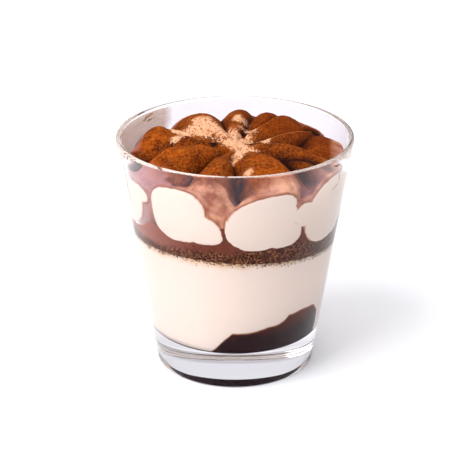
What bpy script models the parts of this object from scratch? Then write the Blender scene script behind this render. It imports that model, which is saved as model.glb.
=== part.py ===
"""A tiramisu in its glass: a tapered tumbler with a thick foot, filled with mascarpone cream over a coffee-soaked
sponge finger, a cocoa layer, and on top a piped rosette of cream whose petals press against the wall.
Metres, +Z up, the middle of the foot's underside at the origin, the front at -Y."""

import math

import bmesh
import bpy

MM = 0.001
GAP = 0.3 * MM  # kept between pieces that touch

# Tumbler
GLASS_HEIGHT = 80 * MM
RIM_RADIUS = 38.8 * MM
FOOT_RADIUS = 26.2 * MM  # where the line of the side would meet the table
HEEL_RADIUS = 2.2 * MM
WALL_AT_RIM = 1.6 * MM
WALL_AT_FOOT = 2.3 * MM
FLOOR_HEIGHT = 13.5 * MM  # the thick pressed foot
FLOOR_FILLET = 3.2 * MM
REST_RING_RADIUS = 18.0 * MM  # inside it the underside is hollowed
UNDERSIDE_HOLLOW = 0.5 * MM
GLASS_SEGMENTS = 72
OUTER_SLOPE = (RIM_RADIUS - FOOT_RADIUS) / GLASS_HEIGHT
INNER_FOOT = FOOT_RADIUS - WALL_AT_FOOT
INNER_SLOPE = (RIM_RADIUS - WALL_AT_RIM - INNER_FOOT) / GLASS_HEIGHT

# Sponge finger, soaked in coffee and broken off slanting: it lies on the floor, against the wall at the front right.
# Its outline from the front is x and z in mm.
SPONGE_OUTLINE = (
    (-8.8, 12.6), (-4.6, 17.3), (-0.9, 21.4), (5.0, 21.4), (9.5, 22.3), (17.9, 23.4), (21.3, 24.6), (23.8, 26.3),
    (24.8, 25.6), (25.6, 22.0), (25.0, 17.0), (23.4, 12.6),
)
SPONGE_FRONT = -32 * MM
SPONGE_BACK = -2 * MM

# Lower cream and cocoa layer: their tops run off a little to both sides, more towards +X
CREAM_LEVEL = 48.6 * MM
COCOA_LEVEL = 52.6 * MM
LEVEL_TILT = -0.05
LEVEL_CROWN = -1.6  # per metre
COCOA_RISE_LIMIT = 61 * MM  # how high the cocoa is squeezed up between the petals at the wall

# Rosette. Each petal is a ridge that runs out from the middle: the angle of its crest at 8, 18 and 28 mm, in degrees
# counterclockwise from +X; the crest's height in mm at 8, 18, 28 and 36.3 mm; how many degrees its flanks reach to
# the clockwise and the other side; and how sharp they are (1 is a straight flank, 3 a rounded one).
PETALS = (
    (172, 167, 160, 75.2, 77.0, 79.0, 71.5, 15, 24, 2.0, 3.0),
    (185, 185, 188, 77.0, 77.4, 70.5, 66.5, 18, 16, 2.0, 2.0),
    (216, 214, 218, 76.8, 79.0, 78.8, 72.5, 15, 21, 4.5, 3.0),
    (250, 256, 257, 75.4, 78.0, 77.4, 75.0, 19, 14, 2.2, 2.2),
    (298, 303, 305, 76.8, 78.3, 77.4, 72.8, 33, 12, 3.6, 1.4),
    (332, 328, 324, 74.0, 74.2, 76.0, 72.8, 12, 18, 1.6, 2.0),
    (356, 351, 339, 76.6, 77.3, 76.4, 74.0, 34, 12, 1.5, 1.2),
    (0, 6, 12, 75.0, 74.6, 77.0, 74.2, 30, 14, 2.5, 1.5),
    (14, 16, 24, 76.4, 78.4, 76.8, 71.0, 24, 10, 1.4, 1.2),
    (36, 32, 28, 75.0, 76.0, 77.8, 72.0, 14, 10, 1.6, 1.6),
    (66, 58, 54, 76.4, 77.8, 78.6, 73.0, 24, 7, 1.4, 1.2),
    (78, 74, 67, 75.0, 76.0, 78.3, 73.4, 15, 12, 2.6, 2.2),
    (88, 87, 86, 76.4, 79.2, 78.8, 73.2, 13, 17, 2.0, 2.6),
    (125, 120, 117, 77.6, 78.9, 78.2, 73.0, 22, 22, 2.2, 2.2),
    (150, 148, 146, 76.0, 76.6, 76.0, 73.0, 14, 14, 1.8, 1.8),
)
PETAL_RADII = (0.0, 8.0, 18.0, 28.0, 36.3)
GROOVE_DEPTHS = (0.2, 1.8, 5.0, 7.0, 7.5)
DIP_HEIGHT = 75.4
# Single swellings and hollows left by the nozzle: x and y in mm, how wide, how high.
LUMPS = (
    (-17.0, 1.2, 3.6, 1.8), (-22.7, 6.1, 2.6, -1.6), (-24.5, -1.3, 3.0, -1.5), (-30.0, -5.0, 5.0, -6.0),
    (-1.4, 3.8, 5.0, 1.0), (24.5, 0.8, 2.2, -2.0), (-21.0, -14.0, 3.0, 0.6),
)
# Where the petals meet the wall: the middle's angle and height in mm, the reach to the right and left in degrees
# (seen from outside), the reach up and down in mm, how far it leans in degrees a mm, how far it stands off the wall
# in mm, and how square it is (2 is an ellipse).
PADS = (
    (192, 63.0, 21.5, 30.0, 8.8, 8.9, 0.3, 0.0, 2.4),
    (208, 67.6, 11.5, 14.0, 3.0, 3.4, 0.0, 0.0, 2.2),
    (239, 64.4, 15.5, 16.0, 9.0, 9.4, 0.0, 0.0, 2.6),
    (253, 59.7, 10.0, 13.0, 5.4, 4.6, -0.5, 0.0, 2.4),
    (260.5, 69.4, 6.5, 7.0, 6.6, 8.4, 0.0, 0.45, 2.2),
    (285.5, 62.3, 17.5, 20.5, 9.5, 9.4, 0.35, 0.0, 2.0),
    (297, 57.4, 10.5, 12.0, 4.2, 4.3, 0.0, 0.0, 2.2),
    (293.5, 68.0, 8.5, 13.0, 4.1, 5.0, 0.0, 0.0, 2.4),
    (328, 61.6, 22.0, 18.5, 11.8, 10.6, 0.15, 0.0, 2.1),
    (308, 63.2, 10.0, 5.6, 4.2, 4.0, 0.0, 0.0, 2.0),
    (367, 62.6, 15.5, 17.0, 9.8, 9.6, 0.0, 0.0, 2.4),
    (400, 63.0, 17.0, 17.0, 9.4, 9.4, 0.3, 0.0, 2.4),
    (438, 62.6, 20.5, 20.5, 9.6, 9.2, -0.3, 0.0, 2.3),
    (476, 63.2, 17.0, 16.5, 9.6, 9.6, 0.0, 0.0, 2.4),
    (508, 62.6, 14.0, 16.0, 9.2, 9.0, 0.3, 0.0, 2.3),
)
PAD_COVER = 0.8  # mm of cream above every pad
WALL_BLEND = 5.0  # mm from the wall over which the top rises to cover the pads
RECESS_LIMIT = 3.0  # mm by which the side draws back at most
FOOT_RECESS = 0.7 * MM
COLUMNS = 108


def wall_radius(height):
    return INNER_FOOT + INNER_SLOPE * height


def add_object(name, mesh, material, collection):
    made = bpy.data.objects.new(name, mesh)
    collection.objects.link(made)
    made.data.materials.append(material)
    return made


def principled(name, colour, roughness, transmission=0.0):
    made = bpy.data.materials.new(name)
    made.use_nodes = True
    shader = made.node_tree.nodes["Principled BSDF"]
    shader.inputs["Base Color"].default_value = (*colour, 1.0)
    shader.inputs["Roughness"].default_value = roughness
    shader.inputs["Metallic"].default_value = 0.0
    shader.inputs["Transmission Weight"].default_value = transmission
    return made


def arc(middle, radius, start, end, count):
    """Points on an arc in the XZ plane, from one angle to another in degrees."""
    turns = [math.radians(start + (end - start) * k / count) for k in range(count + 1)]
    return [(middle[0] + radius * math.cos(t), middle[1] + radius * math.sin(t)) for t in turns]


def tumbler_profile():
    """From the middle of the floor up the inside, over the rim, down the outside and in under the foot."""
    lean = math.degrees(math.atan(OUTER_SLOPE))
    slant = math.hypot(1.0, INNER_SLOPE)
    fillet_height = FLOOR_HEIGHT + FLOOR_FILLET
    fillet_middle = wall_radius(fillet_height) - FLOOR_FILLET * slant
    points = [(0.0, FLOOR_HEIGHT), (fillet_middle * 0.55, FLOOR_HEIGHT)]
    points += arc((fillet_middle, fillet_height), FLOOR_FILLET, -90, -lean, 3)
    lip = WALL_AT_RIM / 2
    lip_height = GLASS_HEIGHT - lip
    lip_middle = (wall_radius(lip_height) + FOOT_RADIUS + OUTER_SLOPE * lip_height) / 2
    points += arc((lip_middle, lip_height), lip, 180, 0, 4)
    heel_middle = FOOT_RADIUS + OUTER_SLOPE * HEEL_RADIUS - HEEL_RADIUS * math.hypot(1.0, OUTER_SLOPE)
    points += arc((heel_middle, HEEL_RADIUS), HEEL_RADIUS, -lean, -90, 4)
    points += [(REST_RING_RADIUS, 0.0), (REST_RING_RADIUS - 1.6 * MM, UNDERSIDE_HOLLOW * 0.8)]
    points += [(REST_RING_RADIUS * 0.45, UNDERSIDE_HOLLOW), (0.0, UNDERSIDE_HOLLOW)]
    return points


def tumbler(collection):
    mesh = bpy.data.meshes.new("glass_tumbler")
    bm = bmesh.new()
    corners = [bm.verts.new((x, 0.0, z)) for x, z in tumbler_profile()]
    for first, second in zip(corners, corners[1:]):
        bm.edges.new((first, second))
    bm.to_mesh(mesh)
    bm.free()
    glass = principled("clear_glass", (0.95, 0.95, 0.97), 0.02, 1.0)
    made = add_object("glass_tumbler", mesh, glass, collection)
    screw = made.modifiers.new("Turned", "SCREW")
    screw.steps = screw.render_steps = GLASS_SEGMENTS
    screw.use_merge_vertices = True
    screw.merge_threshold = 0.00001
    screw.use_smooth_shade = True
    return made


def round_body(name, columns, rings, place):
    """A closed round body: a sphere's rings, bottom to top, carried to where place(column, ring) puts them."""
    mesh = bpy.data.meshes.new(name)
    bm = bmesh.new()
    bmesh.ops.create_uvsphere(bm, u_segments=columns, v_segments=rings, radius=1.0)
    for corner in bm.verts:
        ring = round((math.pi - math.acos(max(-1.0, min(1.0, corner.co.z)))) / math.pi * rings)
        column = round(math.atan2(corner.co.y, corner.co.x) / math.tau * columns) % columns
        angle, radius, height = place(column, ring)
        if ring in (0, rings):
            radius = 0.0
        corner.co = (radius * math.cos(angle), radius * math.sin(angle), height)
    bmesh.ops.triangulate(bm, faces=[face for face in bm.faces if len(face.verts) > 3])
    bm.to_mesh(mesh)
    bm.free()
    return mesh


def level(base, radius, angle):
    across = radius * math.cos(angle)
    return base + LEVEL_TILT * across + LEVEL_CROWN * across * across


def grown(outline, extra):
    """The outline with every side moved outwards by extra; it runs clockwise, so outwards is to its left."""
    found = []
    for k, (x, z) in enumerate(outline):
        before, after = outline[k - 1], outline[(k + 1) % len(outline)]
        sides = ((x - before[0], z - before[1]), (after[0] - x, after[1] - z))
        normals = [(-dz / math.hypot(dx, dz), dx / math.hypot(dx, dz)) for dx, dz in sides]
        total = normals[0][0] + normals[1][0], normals[0][1] + normals[1][1]
        reach = 2 * extra / (total[0] ** 2 + total[1] ** 2)
        found.append((x + total[0] * reach, z + total[1] * reach))
    return found


def sponge_block(name, extra):
    """The sponge finger, or the same grown by extra all round."""
    mesh = bpy.data.meshes.new(name)
    bm = bmesh.new()
    outline = grown([(x * MM, z * MM) for x, z in SPONGE_OUTLINE], extra)
    front = bm.faces.new([bm.verts.new((x, SPONGE_FRONT - extra, z)) for x, z in outline])
    made = bmesh.ops.extrude_face_region(bm, geom=[front])["geom"]
    moved = [corner for corner in made if isinstance(corner, bmesh.types.BMVert)]
    bmesh.ops.translate(bm, vec=(0, SPONGE_BACK - SPONGE_FRONT + 2 * extra, 0), verts=moved)
    bmesh.ops.recalc_face_normals(bm, faces=bm.faces)
    bm.to_mesh(mesh)
    bm.free()
    return mesh


def fill_place(inset, lowest, top, rings):
    """Rings of a filling that stands on the floor at lowest: floor, fillet, wall, and its top surface."""

    def place(column, ring):
        angle = math.tau * column / 64
        edge = wall_radius(lowest) - inset - 1.6 * MM
        if ring <= 1:
            return angle, edge * 0.5, lowest
        if ring == 2:
            return angle, edge, lowest
        if ring == 3:
            return angle, wall_radius(lowest + 1.0 * MM) - inset - 0.45 * MM, lowest + 1.0 * MM
        if ring == 4:
            return angle, wall_radius(lowest + FLOOR_FILLET) - inset, lowest + FLOOR_FILLET
        rim = wall_radius(top) - inset
        share = (1.0, 1.0, 0.94, 0.5, 0.0)[min(ring - 4, 4)]
        radius = rim * share
        height = level(top, radius, angle)
        if ring == 5:
            radius = wall_radius(height) - inset
        return angle, radius, height

    return place


def cutter(name, mesh, collection):
    made = bpy.data.objects.new(name, mesh)
    collection.objects.link(made)
    made.hide_render = True
    made.display_type = "WIRE"
    return made


def cut(made, operation, tool):
    boolean = made.modifiers.new(operation.title(), "BOOLEAN")
    boolean.operation = operation
    boolean.solver = "EXACT"
    boolean.object = tool


def through(values, radius):
    """The smooth curve through the values at PETAL_RADII, flat in the middle and steep at the wall."""
    last = len(values) - 1
    k = min(last - 1, max(j for j in range(last + 1) if PETAL_RADII[j] <= radius))
    slopes = []
    for j in (k, k + 1):
        low, high = max(j - 1, 0), min(j + 1, last)
        slopes.append((values[high] - values[low]) / (PETAL_RADII[high] - PETAL_RADII[low]))
    if k == 0:
        slopes[0] = 0.0
    if k == last - 1:
        slopes[1] *= 1.6
    span = PETAL_RADII[k + 1] - PETAL_RADII[k]
    t = min(1.0, (radius - PETAL_RADII[k]) / span)
    start = (2 * t ** 3 - 3 * t ** 2 + 1) * values[k] + (t ** 3 - 2 * t ** 2 + t) * span * slopes[0]
    return start + (3 * t ** 2 - 2 * t ** 3) * values[k + 1] + (t ** 3 - t ** 2) * span * slopes[1]


def top_height(degrees, radius):
    """The height of the rosette's top in mm: the highest of its ridges there, and the lumps."""
    depth = through(GROOVE_DEPTHS, radius)
    height = 0.0
    for first, middle, outer, h8, h18, h28, h36, right, left, sharp_right, sharp_left in PETALS:
        start = middle + (first - middle + 180) % 360 - 180
        end = middle + (outer - middle + 180) % 360 - 180
        turn = (degrees - through((start, start, middle, end, end), radius) + 180) % 360 - 180
        fall = depth * (turn / left) ** sharp_left if turn > 0 else depth * (-turn / right) ** sharp_right
        height = max(height, through((DIP_HEIGHT, h8, h18, h28, h36), radius) - fall)
    x, y = radius * math.cos(math.radians(degrees)), radius * math.sin(math.radians(degrees))
    for middle_x, middle_y, spread, rise in LUMPS:
        height += rise * math.exp(-((x - middle_x) ** 2 + (y - middle_y) ** 2) / spread ** 2)
    return height


def pad_top(degrees):
    """The height up to which pads cover the wall at that angle, in mm."""
    top = 0.0
    for middle, middle_height, right, left, up, down, lean, stand, square in PADS:
        turn = (degrees - middle + 180) % 360 - 180 - lean * up * 0.5
        side = min(1.0, abs(turn) / (right if turn > 0 else left))
        if side < 1.0:
            top = max(top, middle_height + up * (1.0 - side ** square) ** (1 / square))
    return top


def pad_recess(degrees, height):
    """How far the cream's side stands back from the wall in mm, by the distance from the nearest pad."""
    recess = RECESS_LIMIT
    for middle, middle_height, right, left, up, down, lean, stand, square in PADS:
        rise = height - middle_height
        turn = (degrees - middle + 180) % 360 - 180 - lean * rise
        side = turn / (right if turn > 0 else left)
        climb = rise / (up if rise > 0 else down)
        reach = (abs(side) ** square + abs(climb) ** square) ** (1 / square)
        away = max(0.0, (reach - 1.0) * min(math.radians(right) * 34.5, up))
        recess = min(recess, stand + 0.32 * away + 0.11 * away * away)
    return recess


def side_radius(degrees, height, sole):
    """The rosette's side, rounded in a little where it stands on the cocoa at sole."""
    foot = FOOT_RECESS * max(0.0, 1.0 - max(0.0, height - sole - 0.6 * MM) / (1.2 * MM))
    return wall_radius(height) - GAP - max(foot, pad_recess(degrees, height / MM) * MM)


def cocoa_lip(degrees, sole):
    """How high the cocoa stands at the wall, where the petals leave it room."""
    height = sole + 0.6 * MM
    while height < COCOA_RISE_LIMIT and pad_recess(degrees, (height + 0.4 * MM) / MM) * MM > 2.2 * GAP:
        height += 0.2 * MM
    return height


SIDE_RINGS = 8
TOP_SHARES = (0.985, 0.95, 0.89, 0.8, 0.69, 0.57, 0.44, 0.31, 0.18, 0.08, 0.0)


def side_heights(degrees, top):
    """Sole, lip and top of the rosette's side, with even steps between; its rings and the cocoa's share them."""
    sole = level(COCOA_LEVEL, wall_radius(COCOA_LEVEL), math.radians(degrees)) + GAP
    lip = cocoa_lip(degrees, sole)
    low = [sole + (lip - sole) * k / 3 for k in range(4)]
    return low + [lip + (top - lip) * k / (SIDE_RINGS - 4) for k in range(1, SIDE_RINGS - 3)]


def rosette_place(column, ring):
    degrees = 360 * column / COLUMNS
    angle = math.radians(degrees)
    rim = top_height(degrees, PETAL_RADII[-1])
    top = max(rim, pad_top(degrees) + PAD_COVER)
    heights = side_heights(degrees, top * MM)
    if ring < 2:
        radius = side_radius(degrees, heights[0], heights[0]) * 0.5 * ring
        return angle, radius, level(COCOA_LEVEL, radius, angle) + GAP
    if ring < 2 + SIDE_RINGS:
        height = heights[ring - 2]
        return angle, side_radius(degrees, height, heights[0]), height
    edge = side_radius(degrees, top * MM, heights[0])
    radius = edge * TOP_SHARES[ring - 2 - SIDE_RINGS]
    blend = max(0.0, 1.0 - (edge - radius) / MM / WALL_BLEND)
    height = top_height(degrees, PETAL_RADII[-1] * radius / edge) + (top - rim) * blend * blend * (3 - 2 * blend)
    return angle, radius, height * MM


def cocoa_place(column, ring):
    """The cocoa layer: a thin disc whose edge is squeezed up against the wall wherever petals leave room."""
    degrees = 360 * column / COLUMNS
    angle = math.radians(degrees)
    sole, low, high, lip = side_heights(degrees, GLASS_HEIGHT)[:4]
    if ring < 2:
        radius = wall_radius(CREAM_LEVEL) * 0.5 * ring
        return angle, radius, level(CREAM_LEVEL, radius, angle) + GAP
    if ring == 2:
        height = level(CREAM_LEVEL, wall_radius(CREAM_LEVEL), angle) + GAP
        return angle, wall_radius(height) - GAP, height
    if ring in (3, 4):
        height = sole if ring == 3 else lip
        return angle, wall_radius(height) - GAP, height
    if ring < 8:
        height = (lip, high, low)[ring - 5]
        return angle, side_radius(degrees, height, sole) + GAP, height
    corner = side_radius(degrees, sole, sole) + GAP
    radius = corner * (1.0, 0.5, 0.0)[ring - 8]
    height = sole - GAP if ring == 8 else level(COCOA_LEVEL, radius, angle)
    return angle, radius, height


def clear_scene():
    for old in list(bpy.data.objects):
        bpy.data.objects.remove(old, do_unlink=True)


def build():
    clear_scene()
    scene = bpy.context.scene
    collection = bpy.data.collections.new("tiramisu_in_glass")
    cutters = bpy.data.collections.new("cutters")
    scene.collection.children.link(collection)
    scene.collection.children.link(cutters)

    tumbler(collection)

    cavity = round_body("cavity", 64, 8, fill_place(GAP, FLOOR_HEIGHT + GAP, 40 * MM, 8))
    cavity_cutter = cutter("cavity_cutter", cavity, cutters)
    room = cutter("sponge_room", sponge_block("sponge_room", GAP), cutters)
    sponge = add_object(
        "coffee_sponge", sponge_block("coffee_sponge", 0.0), principled("coffee", (0.03, 0.012, 0.014), 0.35), collection
    )
    cut(sponge, "INTERSECT", cavity_cutter)

    cream = principled("mascarpone", (0.95, 0.88, 0.78), 0.45)
    lower = round_body("mascarpone_layer", 64, 8, fill_place(GAP, FLOOR_HEIGHT + GAP, CREAM_LEVEL, 8))
    cut(add_object("mascarpone_layer", lower, cream, collection), "DIFFERENCE", room)

    cocoa = principled("soaked_cocoa", (0.09, 0.035, 0.025), 0.7)
    add_object("cocoa_layer", round_body("cocoa_layer", COLUMNS, 10, cocoa_place), cocoa, collection)
    rings = 1 + SIDE_RINGS + len(TOP_SHARES)
    petals = round_body("cream_rosette", COLUMNS, rings, rosette_place)
    add_object("cream_rosette", petals, principled("dusted_cream", (0.55, 0.26, 0.1), 0.8), collection)
    for made in collection.objects:
        made.data.shade_smooth()
        made.data.set_sharp_from_angle(angle=math.radians(50))


build()
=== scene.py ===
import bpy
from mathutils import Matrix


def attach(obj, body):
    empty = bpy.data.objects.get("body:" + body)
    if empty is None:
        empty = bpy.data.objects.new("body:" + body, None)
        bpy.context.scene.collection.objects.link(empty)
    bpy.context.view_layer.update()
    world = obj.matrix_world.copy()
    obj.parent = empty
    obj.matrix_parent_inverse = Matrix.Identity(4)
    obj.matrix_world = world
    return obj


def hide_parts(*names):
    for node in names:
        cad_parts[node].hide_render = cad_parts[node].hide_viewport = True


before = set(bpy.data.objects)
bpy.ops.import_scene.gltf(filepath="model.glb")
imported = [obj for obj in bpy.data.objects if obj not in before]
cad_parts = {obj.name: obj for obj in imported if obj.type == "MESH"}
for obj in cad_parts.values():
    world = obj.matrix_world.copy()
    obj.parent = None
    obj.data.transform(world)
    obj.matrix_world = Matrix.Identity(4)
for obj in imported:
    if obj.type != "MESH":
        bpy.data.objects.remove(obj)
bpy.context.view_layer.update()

import functools
import math
import random

import bmesh
import bpy
from mathutils import Matrix, Vector, noise

MM = 0.001

# ---------------------------------------------------------------------------------------------------------------
# The tumbler: pressed soda-lime glass, fire-polished, so that its rim and heel are round and its faces bright.
# The foot is 13.5 mm thick and bends the light from the side up to the eye; the wall thins towards the rim.
# ---------------------------------------------------------------------------------------------------------------
GLASS_HEIGHT = 80 * MM
RIM_RADIUS = 38.8 * MM
FOOT_RADIUS = 26.2 * MM  # where the line of the side would meet the table
HEEL_RADIUS = 2.2 * MM
WALL_AT_RIM = 1.6 * MM
WALL_AT_FOOT = 2.3 * MM
GLASS_FLOOR = 13.5 * MM
FLOOR_FILLET = 3.2 * MM
REST_RING_RADIUS = 18.0 * MM
UNDERSIDE_HOLLOW = 0.5 * MM
ROUND_STEPS = 240
OUTER_SLOPE = (RIM_RADIUS - FOOT_RADIUS) / GLASS_HEIGHT
INNER_FOOT = FOOT_RADIUS - WALL_AT_FOOT
INNER_SLOPE = (RIM_RADIUS - WALL_AT_RIM - INNER_FOOT) / GLASS_HEIGHT


def wall_radius(height):
    return INNER_FOOT + INNER_SLOPE * height


# The fillet between the floor and the wall is an arc about this point.
FILLET_TOP = GLASS_FLOOR + FLOOR_FILLET
FILLET_MIDDLE = wall_radius(FILLET_TOP) - FLOOR_FILLET * math.hypot(1.0, INNER_SLOPE)


def inside_radius(height, deeper=0.0):
    """The radius of the tumbler's inside, or of a face that lies a little deeper in its glass."""
    if height >= FILLET_TOP:
        return wall_radius(height) + deeper
    return FILLET_MIDDLE + math.sqrt(max(0.0, (FLOOR_FILLET + deeper) ** 2 - (FILLET_TOP - height) ** 2))


def arc(middle, radius, start, end, count):
    turns = [math.radians(start + (end - start) * k / count) for k in range(count + 1)]
    return [(middle[0] + radius * math.cos(t), middle[1] + radius * math.sin(t)) for t in turns]


def tumbler_profile():
    lean = math.degrees(math.atan(OUTER_SLOPE))
    points = [(0.0, GLASS_FLOOR), (FILLET_MIDDLE * 0.55, GLASS_FLOOR)]
    points += arc((FILLET_MIDDLE, FILLET_TOP), FLOOR_FILLET, -90, -lean, 12)
    lip = WALL_AT_RIM / 2
    lip_height = GLASS_HEIGHT - lip
    lip_middle = (wall_radius(lip_height) + FOOT_RADIUS + OUTER_SLOPE * lip_height) / 2
    points += [(wall_radius(height * MM), height * MM) for height in (30, 45, 60, 76)]
    points += arc((lip_middle, lip_height), lip, 180, 0, 12)
    points += [(FOOT_RADIUS + OUTER_SLOPE * height * MM, height * MM) for height in (76, 58, 40, 22)]
    heel_middle = FOOT_RADIUS + OUTER_SLOPE * HEEL_RADIUS - HEEL_RADIUS * math.hypot(1.0, OUTER_SLOPE)
    points += arc((heel_middle, HEEL_RADIUS), HEEL_RADIUS, -lean, -90, 12)
    points += [(REST_RING_RADIUS, 0.0), (REST_RING_RADIUS - 0.8 * MM, UNDERSIDE_HOLLOW * 0.45)]
    points += [(REST_RING_RADIUS - 2.0 * MM, UNDERSIDE_HOLLOW * 0.8)]
    points += [(REST_RING_RADIUS * 0.45, UNDERSIDE_HOLLOW), (0.0, UNDERSIDE_HOLLOW)]
    return points


def piece(name, bm, material):
    mesh = bpy.data.meshes.new(name)
    bm.to_mesh(mesh)
    bm.free()
    mesh.shade_smooth()
    made = bpy.data.objects.new(name, mesh)
    bpy.context.scene.collection.objects.link(made)
    mesh.materials.append(material)
    return made


def linear(code):
    """An sRGB hex colour as linear red, green, blue and 1."""
    parts = [int(code[k:k + 2], 16) / 255 for k in (0, 2, 4)]
    return [part / 12.92 if part <= 0.04045 else ((part + 0.055) / 1.055) ** 2.4 for part in parts] + [1.0]


def add(tree, kind, links=(), **settings):
    """A node of that kind with its settings; an input socket named in links is joined to the socket given."""
    node = tree.nodes.new(kind)
    for name, value in settings.items():
        setattr(node, name, value)
    for socket, value in dict(links).items():
        if isinstance(value, bpy.types.NodeSocket):
            tree.links.new(value, node.inputs[socket])
        else:
            node.inputs[socket].default_value = value
    return node


def new_material(name):
    made = bpy.data.materials.new(name)
    made.use_nodes = True
    tree = made.node_tree
    shader = tree.nodes["Principled BSDF"]
    return made, tree, shader


def glass_material():
    made, tree, shader = new_material("soda_lime_glass_pressed")
    shader.inputs["Base Color"].default_value = linear("F7F5F9")
    shader.inputs["Roughness"].default_value = 0.0
    shader.inputs["IOR"].default_value = 1.5
    shader.inputs["Transmission Weight"].default_value = 1.0
    shader.inputs["Specular Tint"].default_value = linear("6A6A6A")
    clear = add(tree, "ShaderNodeBsdfTransparent", {"Color": linear("F6F5FA")})
    rays = add(tree, "ShaderNodeLightPath")
    mixed = add(
        tree, "ShaderNodeMixShader", {0: rays.outputs["Is Shadow Ray"], 1: shader.outputs[0], 2: clear.outputs[0]}
    )
    tree.links.new(mixed.outputs[0], tree.nodes["Material Output"].inputs["Surface"])
    return made


def make_tumbler():
    bm = bmesh.new()
    corners = [bm.verts.new((x, 0.0, z)) for x, z in tumbler_profile()]
    edges = [bm.edges.new(pair) for pair in zip(corners, corners[1:])]
    bmesh.ops.spin(
        bm, geom=corners + edges, cent=(0, 0, 0), axis=(0, 0, 1), angle=math.tau, steps=ROUND_STEPS, use_merge=True
    )
    bmesh.ops.remove_doubles(bm, verts=bm.verts, dist=0.00001)
    bmesh.ops.recalc_face_normals(bm, faces=bm.faces)
    return piece("tumbler_glass", bm, glass_material())


tumbler = make_tumbler()
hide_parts("glass_tumbler")
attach(tumbler, "root")

# ---------------------------------------------------------------------------------------------------------------
# The lower cream: mascarpone whipped with egg and sugar, spooned in over the soaked sponge. It wets the glass, so
# no air shows between them, and it is stained a little where the cocoa and the coffee touch it.
# ---------------------------------------------------------------------------------------------------------------
CREAM_LEVEL = 48.7 * MM
LEVEL_TILT = -0.05
LEVEL_CROWN = -1.6
WETTING = 0.05 * MM  # how far a filling reaches into the wall
FILLING_COLUMNS = 720
CREAM_RINGS = (4, 12, 28, 36)  # the rings at which its sole, fillet, side and top end


def level(base, across):
    return base + LEVEL_TILT * across + LEVEL_CROWN * across * across


def crumbly(angle):
    """The ragged line where the cocoa crumbs lie on the cream, along the wall."""
    where = Vector((math.cos(angle), math.sin(angle), 0.3)) * 34
    return 0.42 * MM * noise.noise(where * 0.9) + 0.26 * MM * noise.noise(where * 3.1)


def cream_edge(angle):
    across = wall_radius(CREAM_LEVEL) * math.cos(angle)
    return level(CREAM_LEVEL, across) + crumbly(angle)


def round_body(columns, rings, place):
    """A closed round body: a grid whose rows become rings, bottom to top, where place(angle, ring) puts them."""
    bm = bmesh.new()
    bmesh.ops.create_grid(bm, x_segments=columns, y_segments=rings, size=1.0)
    for corner in bm.verts:
        column = round((corner.co.x + 1.0) / 2 * columns) % columns
        ring = round((corner.co.y + 1.0) / 2 * rings)
        angle = math.tau * column / columns
        radius, height = place(angle, ring)
        if ring in (0, rings):
            radius = 0.0
        corner.co = (radius * math.cos(angle), radius * math.sin(angle), height)
    bmesh.ops.remove_doubles(bm, verts=bm.verts, dist=0.0000005)
    bmesh.ops.recalc_face_normals(bm, faces=bm.faces)
    return bm


def cream_place(angle, ring):
    sole, fillet, side, top = CREAM_RINGS
    bottom = GLASS_FLOOR - WETTING
    if ring < sole:
        return FILLET_MIDDLE * ring / sole, bottom
    if ring <= fillet:
        turn = math.radians(-90 + (90 - math.degrees(math.atan(INNER_SLOPE))) * (ring - sole) / (fillet - sole))
        reach = FLOOR_FILLET + WETTING
        return FILLET_MIDDLE + reach * math.cos(turn), FILLET_TOP + reach * math.sin(turn)
    edge = cream_edge(angle)
    if ring <= side:
        height = FILLET_TOP + (edge - FILLET_TOP) * (ring - fillet) / (side - fillet)
        return wall_radius(height) + WETTING, height
    radius = wall_radius(edge) * (1.0 - (ring - side) / (top - side))
    return radius, level(CREAM_LEVEL, radius * math.cos(angle)) + 0.1 * MM


def cream_material():
    """Whipped mascarpone: ivory, faintly moist, light goes a little way into it."""
    made, tree, shader = new_material("mascarpone_whipped")
    place = add(tree, "ShaderNodeTexCoord").outputs["Object"]
    height = add(tree, "ShaderNodeSeparateXYZ", {0: place}).outputs["Z"]
    across = add(tree, "ShaderNodeSeparateXYZ", {0: place}).outputs["X"]
    tilt = add(tree, "ShaderNodeMath", {0: across, 1: -LEVEL_TILT, 2: height}, operation="MULTIPLY_ADD").outputs[0]
    # Stains of about 8 mm.
    cloud = add(tree, "ShaderNodeTexNoise", {"Vector": place, "Scale": 120.0, "Detail": 3.0}).outputs["Fac"]
    ragged = add(tree, "ShaderNodeMath", {0: cloud, 1: 0.006, 2: tilt}, operation="MULTIPLY_ADD").outputs[0]
    near_cocoa = add(
        tree, "ShaderNodeMapRange", {"Value": ragged, "From Min": 0.0485, "From Max": 0.0525},
        interpolation_type="SMOOTHSTEP"
    ).outputs[0]
    stain = add(
        tree, "ShaderNodeMix", {0: near_cocoa, 6: linear("EBDCCF"), 7: linear("DAB084")}, data_type="RGBA"
    ).outputs[2]
    tree.links.new(stain, shader.inputs["Base Color"])
    shader.inputs["Roughness"].default_value = 0.45
    shader.inputs["Specular IOR Level"].default_value = 0.1
    shader.inputs["Subsurface Weight"].default_value = 0.35
    shader.inputs["Subsurface Radius"].default_value = (0.003, 0.0022, 0.0014)
    shader.inputs["Subsurface Scale"].default_value = 1.0
    return made


lower_cream = piece("lower_cream", round_body(FILLING_COLUMNS, CREAM_RINGS[-1], cream_place), cream_material())
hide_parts("mascarpone_layer")
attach(lower_cream, "root")

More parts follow.
